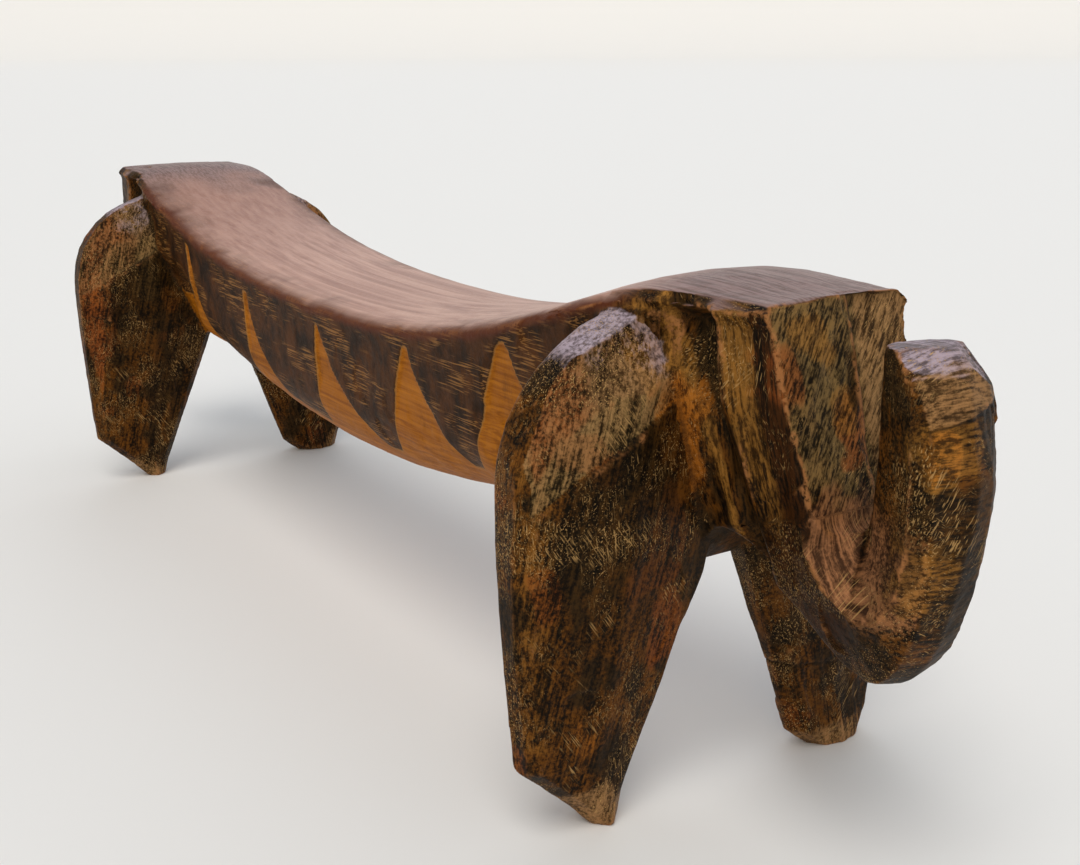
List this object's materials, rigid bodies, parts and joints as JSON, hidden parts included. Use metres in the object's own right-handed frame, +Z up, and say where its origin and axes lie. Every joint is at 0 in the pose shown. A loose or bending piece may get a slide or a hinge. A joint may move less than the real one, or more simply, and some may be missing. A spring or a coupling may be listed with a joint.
{
  "type": "headrest stool",
  "caption": "Long low carved wooden headrest stool: a concave saddle beam on splayed legs, with a curled-up hook at each end.",
  "frame": {"origin": "middle of the stool's box, on the floor that the four feet stand on", "axes": "+X along the beam towards the front hook, +Y to the left, +Z up"},
  "size_m": [0.5188, 0.124, 0.1375],
  "materials": {
    "worn_wood": "hand-worn smooth, satin",
    "burnt_wood": "fire-darkened, tool-marked, oiled"
  },
  "bodies": {
    "root": {"saddle_beam": "worn_wood", "front_right_leg": "burnt_wood", "rear_right_leg": "burnt_wood", "rear_left_leg": "burnt_wood", "front_left_leg": "burnt_wood", "front_left_foot": "burnt_wood", "front_hook": "burnt_wood", "rear_hook": "burnt_wood"}
  },
  "joints": []
}
